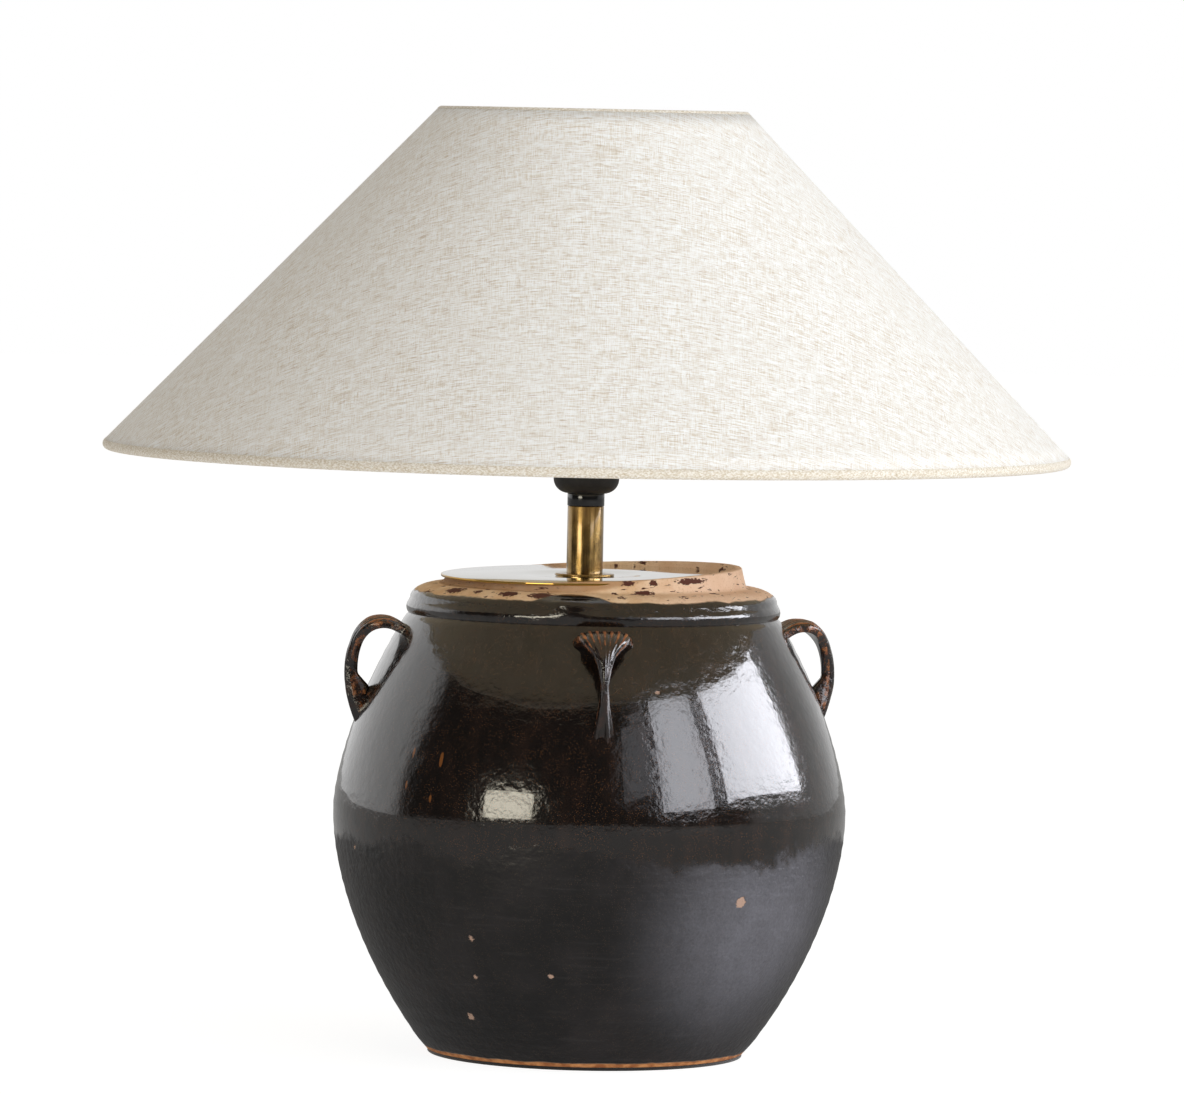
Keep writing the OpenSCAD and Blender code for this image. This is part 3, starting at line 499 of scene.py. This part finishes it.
# ---------------------------------------------------------------- Lugs
# Four straps of the same clay, pulled by hand and pressed onto the shoulder a quarter turn apart.
# Each leaves the wall wide, arches over, narrows to a bar and ends in a thumbed tail. The glaze ran
# thin and orange on every ridge.


def along(points, t):
    """Value at t between given points of t and value."""
    for (t0, a), (t1, b) in zip(points, points[1:]):
        if t <= t1:
            return a + (b - a) * (t - t0) / (t1 - t0)
    return points[-1][1]


strap_points = [Vector(p) for p in ((112, 255), (138, 282), (162, 252), (body_r(203) - 4, 203))]
strap_widths = [
    (0, 47), (0.1, 36.5), (0.2, 31.5), (0.3, 31.5), (0.4, 25.8), (0.52, 13.5), (0.62, 8.1), (0.73, 4.8),
    (0.83, 6.5), (0.92, 10.5), (1, 14),
]
strap_outside = [(0, 2.7), (0.4, 2.7), (0.62, 3.8), (0.85, 3.8), (1, 2)]
strap_inside = [(0, 2.7), (0.4, 2.7), (0.62, 3.8), (0.76, 4.3), (0.84, 11), (1, 5.5)]
strap_relief = [(0, 0.3), (0.1, 0.6), (0.2, 1), (0.35, 1), (0.6, 0.1), (1, 0)]
strap_roundness = [(0, 0), (0.38, 0), (0.6, 1), (0.84, 1), (1, 0.5)]

lug_glaze = Finish("lug_glaze", Roughness=0.16, Coat_Roughness=0.04)
thin = lug_glaze.add("Attribute", {"attribute_name": "thin"}, {}, "Fac")
patches = lug_glaze.cloud(5, 4)
fine = lug_glaze.cloud(0.9, 3)
worn = (thin + (patches - 0.5) * 1.1 + (fine - 0.5) * 0.5).rise(0.52, 0.8)
dark = lug_glaze.cloud(8, 3).rise(0.4, 0.7).blend(ink("140d0a"), ink("301b10"))
orange = lug_glaze.cloud(3, 3).rise(0.3, 0.7).blend(ink("7c4422"), ink("b26f3a"))
lug_glaze.lay("Base Color", (worn * 0.85).blend(dark, orange))
lug_glaze.lay("Roughness", worn * 0.3 + 0.12)
lug_glaze.lay("Coat Weight", 0.8 - worn * 0.6)
lug_glaze.relief(patches * 0.8 + lug_glaze.cloud(2.4, 3) * 0.5 + fine * 0.15, 0.8)

strap_steps, strap_across, strap_under = 64, 56, 14
strap_ridges, ridge_h, strap_crown = 7, 0.75, 1.8
for name, node, azimuth in (
    ("lug_at_right", "lug_right", 12), ("lug_at_back", "lug_back", 95),
    ("lug_at_left", "lug_left", 187), ("lug_at_front", "lug_front", 273),
):
    strap = bmesh.new()
    thin_layer = strap.verts.layers.float.new("thin")
    upright = Matrix.Rotation(radians(azimuth), 3, "Z")
    a, b, c, d = strap_points
    rows = []
    for k in range(strap_steps + 1):
        t = k / strap_steps
        at = (1 - t) ** 3 * a + 3 * (1 - t) ** 2 * t * b + 3 * (1 - t) * t * t * c + t**3 * d
        go = ((1 - t) ** 2 * (b - a) + 2 * (1 - t) * t * (c - b) + t * t * (d - c)).normalized()
        wide, relief = along(strap_widths, t) / 2, along(strap_relief, t)
        half, deep = along(strap_outside, t), along(strap_inside, t)
        pinch, bar = max(0, t - 0.8) * 5, along(strap_roundness, t)
        row = []
        for i in range(strap_across + 1):
            s = 2 * i / strap_across - 1
            ridge = 0.5 - 0.5 * cos(2 * pi * strap_ridges * (s + 1) / 2)
            pull = 0.35 * noise.noise(Vector((s * 3 + azimuth, t * 4, azimuth)))
            thumbed = 3.2 * exp(-(((s - 0.4) / 0.28) ** 2)) + 1.6 * exp(-(((s + 0.7) / 0.25) ** 2)) - 2.2
            out = half * (1 - (0.25 + 0.6 * bar) * abs(s) ** (6 - 3.6 * bar))
            out += relief * (strap_crown * (1 - s**4) + ridge_h * ridge)
            out += pull
            out += pinch * thumbed
            edge = abs(s) ** 8
            row.append((at.x - out * go.y, wide * s, at.y + out * go.x, max(ridge * relief, edge * 0.62)))
        for i in range(strap_under + 1):
            s = 1 - 2 * i / strap_under
            out = -deep * (1 - 0.25 * s**4) + relief * 0.63 * (1 - s * s)
            row.append((at.x - out * go.y, 0.96 * wide * s, at.y + out * go.x, abs(s) ** 8 * 0.5))
        verts = []
        for x, y, z, amount in row:
            v = strap.verts.new(upright @ Vector((x, y, z)) * MM)
            v[thin_layer] = amount
            verts.append(v)
        rows.append([strap.edges.new(pair) for pair in zip(verts, verts[1:] + verts[:1])])
        if k:
            bmesh.ops.bridge_loops(strap, edges=rows[-2] + rows[-1])
    for end in (rows[0], rows[-1]):
        bmesh.ops.edgenet_fill(strap, edges=end)
    make_piece(name, strap, lug_glaze, "base", [node], 60)

# ---------------------------------------------------------------- Cable bush
# A moulded bush pressed into the outlet at the back, so that the glaze doesn't cut the cable.


def dress(finish, *nodes):
    """Gives CAD nodes whose shape is right their real finish."""
    for node in nodes:
        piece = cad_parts[node]
        if not piece.material_slots:
            piece.data.materials.append(finish.material)
        for place in piece.material_slots:
            place.material = finish.material


moulded = Finish("moulded_black", Roughness=0.42)
grain = moulded.cloud(0.6, 3)
moulded.lay("Base Color", grain.rise(0.3, 0.7).blend(ink("121213"), ink("1f1e1e")))
moulded.relief(grain, 0.03)
dress(moulded, "cable_bush")

# ---------------------------------------------------------------- Clamp inside the jar
# A zinc-plated steel bar with rubber pads bears up against the underside of the mouth. Nuts on
# the hollow threaded rod pull the cover plate down onto it.

zinc = Finish("zinc_plate", Metallic=1.0, Roughness=0.35)
zinc.lay("Base Color", zinc.cloud(6, 4).rise(0.3, 0.7).blend(ink("9fa2a5"), ink("c6c8c9")))
zinc.lay("Roughness", zinc.cloud(3, 3) * 0.25 + 0.25)
dress(zinc, "clamp_bar", "clamp_washer", "terminal_screws")

rubber = Finish("black_rubber", Roughness=0.8)
rubber.lay("Base Color", rubber.cloud(2, 4).rise(0.3, 0.7).blend(ink("151515"), ink("262524")))
dress(rubber, "bar_pads")

plain_brass = Finish("plain_brass", Metallic=1.0, Roughness=0.3)
turned_lines = plain_brass.cloud((4, 4, 0.7), 3)
plain_brass.lay("Base Color", turned_lines.rise(0.3, 0.7).blend(ink("b8924c"), ink("d6b36c")))
plain_brass.relief(turned_lines, 0.06)
dress(plain_brass, "threaded_rod", "rod_nuts")

# ---------------------------------------------------------------- Cover plate
# A spun brass plate, polished like a mirror, that closes the mouth and carries the stem. Its flat
# rim lies on the worn seat and its middle sinks a little under the rod's pull.

plate_r, plate_t, plate_dish, plate_round = 88.7, 1.5, 1.3, 0.4
rod_hole_r = 5.1
flat_r, well_r = 19.5, 42.0
sunk = [
    (flat_r + (well_r - flat_r) * i / 24, -plate_dish * (1 + cos(pi * i / 24)) / 2) for i in range(25)
]
plate_outline = [(rod_hole_r, -plate_dish)] + sunk
plate_outline += corner((plate_r - plate_round, plate_round), plate_round, -90, 0, 3)
plate_outline += corner((plate_r - plate_round, plate_t - plate_round), plate_round, 0, 90, 3)
plate_outline += [(r, z + plate_t) for r, z in reversed(sunk)] + [(rod_hole_r, plate_t - plate_dish)]
plate = spun(plate_outline, steps=160)
on_seat = (
    Matrix.Translation((stem[0] * MM, stem[1] * MM, seat_z * MM))
    @ Matrix.Rotation(radians(seat_turn), 4, "Z") @ Matrix.Rotation(radians(-seat_fall), 4, "Y")
)
bmesh.ops.transform(plate, matrix=on_seat, verts=plate.verts)
mirror = Finish("polished_brass", Metallic=1.0, Roughness=0.05)
haze = mirror.cloud(30, 4)
brassy = mirror.at.distance((*stem, seat_z)).rise(plate_r - 1.2, plate_r - 0.6)
mirror.lay("Base Color", brassy.blend(haze.rise(0.3, 0.7).blend(ink("d5d2ca"), ink("e2dfd8")), ink("c9a055")))
mirror.lay("Roughness", haze * 0.05 + mirror.cloud(0.8, 3).rise(0.62, 0.8) * 0.1 + 0.02)
mirror.relief(mirror.cloud(50, 1), 0.05)
make_piece("spun_plate", plate, mirror, "base", ["cover_plate"])

# ---------------------------------------------------------------- Stem
# A drawn brass tube with an antique finish, standing in a bead on the plate and ending in a black
# collar. The hollow rod runs through all three and clamps them.

plate_z, collar_z, holder_z = 296.3, 339.5, 347.5
ring_r, ring_h, tube_r, tube_bore = 18.5, 1.7, 11.25, 10.0

aged = Finish("antique_brass", Metallic=1.0, Roughness=0.3, Coat_Weight=0.6, Coat_Roughness=0.08)
drawn = aged.cloud((0.7, 0.7, 30), 3)
tarnish = aged.cloud((5, 5, 9), 4)
aged.lay("Base Color", (drawn * 0.5 + tarnish * 0.5).rise(0.32, 0.68).blend(ink("7d6236"), ink("b1925a")))
aged.lay("Roughness", tarnish * 0.2 + 0.14)
aged.relief(drawn, 0.03)

bead = spun(
    [(tube_r + 0.1, plate_z - 0.4), (ring_r - ring_h / 2, plate_z - 0.4)]
    + corner((ring_r - ring_h / 2, plate_z + ring_h / 2), ring_h / 2, -90, 90, 10)
    + [(tube_r + 0.6, plate_z + ring_h), (tube_r + 0.1, plate_z + ring_h - 0.3)], stem,
)
make_piece("foot_bead", bead, aged, "base", ["foot_ring"])

tube = spun(
    [(tube_bore, plate_z - 0.2), (tube_r, plate_z - 0.2)]
    + corner((tube_r - 0.25, collar_z - 0.25), 0.25, 0, 90, 3) + [(tube_bore, collar_z)], stem,
)
make_piece("brass_tube", tube, aged, "base", ["stem_tube"])

lacquer = Finish("black_lacquer", Roughness=0.12, Coat_Weight=0.5)
dust = lacquer.cloud(1.2, 4)
lacquer.lay("Base Color", dust.rise(0.45, 0.8).blend(ink("0d0d0e"), ink("1b1a1a")))
lacquer.lay("Roughness", dust * 0.1 + 0.08)
collar_r, spigot_r, spigot_z = tube_r + 0.2, 9.9, 333.5
collar = spun(
    [(rod_hole_r, spigot_z), (spigot_r, spigot_z), (spigot_r, collar_z)]
    + corner((collar_r - 0.5, collar_z + 0.7), 0.5, -90, 0, 4)
    + corner((collar_r - 0.5, holder_z - 0.5), 0.5, 0, 90, 4) + [(rod_hole_r, holder_z)], stem,
)
make_piece("black_collar", collar, lacquer, "base", ["stem_collar"])

# ---------------------------------------------------------------- Lampholder
# A moulded lampholder in two halves for a 27 mm screw cap: the rounded cap takes the rod and the
# skirt carries the shade's rings. Core, contacts and terminals are inside.

thermoset = Finish("matt_thermoset", Roughness=0.55)
pores = thermoset.grains(1.1).rise(0.28, 0.1) * thermoset.cloud(4, 2).rise(0.45, 0.6)
mottle = thermoset.cloud(3, 4)
shell_colour = mottle.rise(0.3, 0.75).blend(ink("141313"), ink("262221"))
thermoset.lay("Base Color", (pores * 0.5).blend(shell_colour, ink("4b382c")))
thermoset.lay("Roughness", mottle * 0.2 + 0.4)
thermoset.relief(thermoset.cloud(0.7, 3), 0.04)
dress(thermoset, "holder_skirt", "clamp_ring_lower", "clamp_ring_upper")

holder_r, dome_h, cap_h = 20.3, 9.0, 19.0
cap_neck, cap_bore = tube_r - 0.1, 17.9
cap = spun(
    [(rod_hole_r, holder_z)]
    + [
        (cap_neck + (holder_r - cap_neck) * cos(radians(a)), holder_z + dome_h + dome_h * sin(radians(a)))
        for a in range(-90, 1, 6)
    ]
    + corner((holder_r - 0.4, holder_z + cap_h - 0.4), 0.4, 0, 90, 3)
    + [(cap_bore, holder_z + cap_h), (cap_bore, holder_z + 10), (12, holder_z + 4), (rod_hole_r, holder_z + 4)],
    stem, 128,
)
make_piece("holder_dome", cap, thermoset, "base", ["holder_cap"])

steatite = Finish("steatite", Roughness=0.6)
steatite.lay("Base Color", steatite.cloud(1, 4).rise(0.4, 0.8).blend(ink("efece2"), ink("d8d2c4")))
dress(steatite, "holder_core")

contact = Finish("contact_brass", Metallic=1.0, Roughness=0.25)
contact.lay("Base Color", contact.cloud(3, 4).rise(0.3, 0.7).blend(ink("d0a957"), ink("e4c680")))
dress(contact, "screw_shell", "centre_contact", "terminals")

# ---------------------------------------------------------------- Bulb
# A clear glass bulb with yellow-coated filaments on a screw cap, as sold for such lamps.

cap_metal = Finish("bulb_cap_metal", Metallic=1.0, Roughness=0.3)
cap_metal.lay("Base Color", cap_metal.cloud(4, 3).rise(0.3, 0.7).blend(ink("c9cacb"), ink("e2e3e3")))
dress(cap_metal, "bulb_cap", "bulb_contact")

vitrite = Finish("black_glass", Roughness=0.15)
vitrite.lay("Base Color", vitrite.cloud(2, 3).rise(0.3, 0.7).blend(ink("0e0e14"), ink("1c1c26")))
dress(vitrite, "bulb_insulator")

glass = Finish("clear_glass", Transmission_Weight=1.0, Roughness=0.02, IOR=1.45)
glass.lay("Base Color", glass.cloud(20, 2).rise(0.3, 0.7).blend(ink("f7f9f9"), ink("fdfefe")))
dress(glass, "bulb_glass", "bulb_mount")

phosphor = Finish("coated_filament", Roughness=0.6)
phosphor.lay("Base Color", phosphor.cloud(0.8, 3).rise(0.3, 0.7).blend(ink("e2a63a"), ink("f2c766")))
dress(phosphor, "bulb_filaments")

# ---------------------------------------------------------------- Shade frame and liner
# Two rings of white-coated steel wire, the upper with three arms to the carrying ring, and a cone
# of stiff white lampshade film clipped round them.

coated = Finish("white_coating", Roughness=0.4)
coated.lay("Base Color", coated.cloud(3, 3).rise(0.3, 0.8).blend(ink("f0f0ee"), ink("dddcd8")))
dress(coated, "shade_top_frame", "shade_bottom_ring")

film = Finish("shade_film", Roughness=0.6)
film.lay("Base Color", film.cloud(25, 4).rise(0.3, 0.7).blend(ink("eee1c8"), ink("e4d5b8")))
dress(film, "shade_liner")

# ---------------------------------------------------------------- Linen
# Natural slubby linen, cut as one flat ring sector, stretched round the film and glued edge over
# edge at the back. The threads run level in front and turn with the cloth towards the sides.

bottom_wire, top_wire = Vector((295.3, 373.2)), Vector((93.5, 581.3))
up_slope = (top_wire - bottom_wire).normalized()
out_slope = Vector((up_slope.y, -up_slope.x))
cone = -up_slope.x
linen_out, linen_t = 2.95, 0.5
low_edge, high_edge = bottom_wire + out_slope * linen_out, top_wire + out_slope * linen_out

cloth = bmesh.new()
cloth_steps, cloth_rows = 240, 24
profile = [low_edge.lerp(high_edge, i / cloth_rows) for i in range(cloth_rows + 1)]
corners = [cloth.verts.new(((stem[0] + p.x) * MM, stem[1] * MM, p.y * MM)) for p in profile]
lines = [cloth.edges.new(pair) for pair in zip(corners, corners[1:])]
bmesh.ops.spin(
    cloth, geom=corners + lines, cent=(stem[0] * MM, stem[1] * MM, 0), axis=(0, 0, 1), dvec=(0, 0, 0),
    angle=2 * pi, steps=cloth_steps, use_merge=True, use_duplicate=False,
)
bmesh.ops.remove_doubles(cloth, verts=cloth.verts, dist=1e-6)
flat_map = cloth.loops.layers.uv.new("flat_cloth")
for face in cloth.faces:
    middle = face.calc_center_median() / MM - Vector((*stem, 0))
    middle_turn = atan2(middle.x, -middle.y)
    for loop in face.loops:
        x, y, z = loop.vert.co / MM - Vector((*stem, 0))
        turn = atan2(x, -y)
        turn += 2 * pi * round((middle_turn - turn) / (2 * pi))
        slant = hypot(x, y) / cone
        loop[flat_map].uv = (slant * sin(turn * cone) * MM, -slant * cos(turn * cone) * MM)

linen = Finish("slubby_linen", Roughness=0.85, Sheen_Weight=0.15)
flat = linen.add("UVMap", {"uv_map": "flat_cloth"}, {}).stretch(1000, 1000, 1000)
weft = linen.cloud((20, 0.7, 1), 4, flat) * 0.5 + linen.cloud((6, 0.5, 1), 3, flat) * 0.5
warp = linen.cloud((0.6, 18, 1), 4, flat) * 0.5 + linen.cloud((0.5, 6, 1), 3, flat) * 0.5
threads = weft * 0.64 + warp * 0.36
tone = threads.rise(0.4, 0.56).blend(ink("d6c8b3"), ink("fcfcfb"))
broad = linen.cloud(60, 3, flat).rise(0.3, 0.7)
tone = (broad * 0.3).blend(tone, ink("f1efeb"))
slub = linen.cloud((9, 0.6, 1), 3, flat).rise(0.58, 0.68)
upslub = linen.cloud((0.9, 9, 1), 3, flat).rise(0.64, 0.72)
tone = (slub.most(upslub * 0.6) * 0.7).blend(tone, ink("b4956e"))
bits = linen.cloud((2.4, 0.7, 1), 2, flat).rise(0.71, 0.76) * linen.cloud(9, 1, flat).rise(0.45, 0.6)
tone = (bits * 0.8).blend(tone, ink("84674a"))
linen.lay("Base Color", tone)
thread_pitch = 1.2
per_mm = 2 * pi / thread_pitch
over = (flat.axis("X") * per_mm).wave() * (flat.axis("Y") * per_mm).wave()
linen.relief(threads * 0.8 + over * 0.12 + slub * 0.25, 0.35)
linen_piece = make_piece("linen_cone", cloth, linen, "shade", ["shade_cover"])
thickness = linen_piece.modifiers.new("cloth_thickness", "SOLIDIFY")
thickness.thickness = linen_t * MM
thickness.offset = 0

# ---------------------------------------------------------------- Hem tapes
# Linen tape, a shade yellower than the cover, folded and glued round each wire over the edges of
# cloth and film. Here each tape is a whole ring, and the arms run through the upper one.

tape = Finish("linen_tape", Roughness=0.85, Sheen_Weight=0.15)
ribs = tape.cloud((1.4, 1.4, 0.7), 4)
tape_tone = ribs.rise(0.3, 0.7).blend(ink("cabaa0"), ink("f3eee5"))
tape_tone = (tape.cloud(2.2, 3).rise(0.62, 0.75) * 0.6).blend(tape_tone, ink("b09c7a"))
tape.lay("Base Color", tape_tone)
tape.relief(ribs, 0.3)

hem_r, hem_t, hem_flap = 3.35, 0.35, 0.6
wall_turn = degrees(atan2(out_slope.y, out_slope.x))
wrap, wrap_steps = 200, 20
for name, node, wire, side in (
    ("top_tape", "shade_top_hem", top_wire, 1), ("bottom_tape", "shade_bottom_hem", bottom_wire, -1),
):
    bend = corner(wire, hem_r, wall_turn, wall_turn + side * wrap, wrap_steps)
    start = Vector(bend[0]) - up_slope * side * hem_flap
    inner = corner(wire, hem_r - hem_t, wall_turn + side * wrap, wall_turn, wrap_steps)
    inner_start = Vector(inner[-1]) - up_slope * side * hem_flap
    ring = spun([tuple(start)] + bend + inner + [tuple(inner_start)], stem, 180)
    make_piece(name, ring, tape, "shade", [node], 70)
